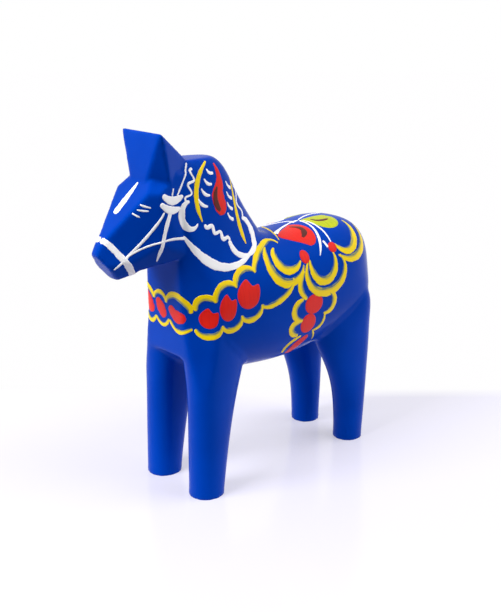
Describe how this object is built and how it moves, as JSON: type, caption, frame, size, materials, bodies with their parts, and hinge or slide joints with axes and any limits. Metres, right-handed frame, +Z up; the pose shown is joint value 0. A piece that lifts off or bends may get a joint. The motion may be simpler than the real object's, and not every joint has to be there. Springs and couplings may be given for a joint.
{
  "type": "dala horse",
  "caption": "Carved wooden toy horse with a block-like body, straight round legs and a faceted head, painted glossy blue.",
  "frame": {"origin": "on the floor, under the middle of the horse's bounding box", "axes": "+X forward to the nose, +Y to the horse's left, +Z up"},
  "size_m": [0.1882, 0.0624, 0.2],
  "materials": {
    "bare_pine": "sanded, unfinished",
    "blue_gloss_paint": "oil paint under clear gloss lacquer",
    "white_paint": "brushed oil paint under clear lacquer",
    "yellow_paint": "brushed oil paint under clear lacquer, shaded to blue along one edge",
    "red_paint": "brushed oil paint under clear lacquer",
    "brown_paint": "brushed oil paint under clear lacquer"
  },
  "bodies": {
    "root": {"centre_board": "bare_pine", "left_board": "bare_pine", "right_board": "bare_pine", "blue_coat": "blue_gloss_paint"}
  },
  "joints": []
}
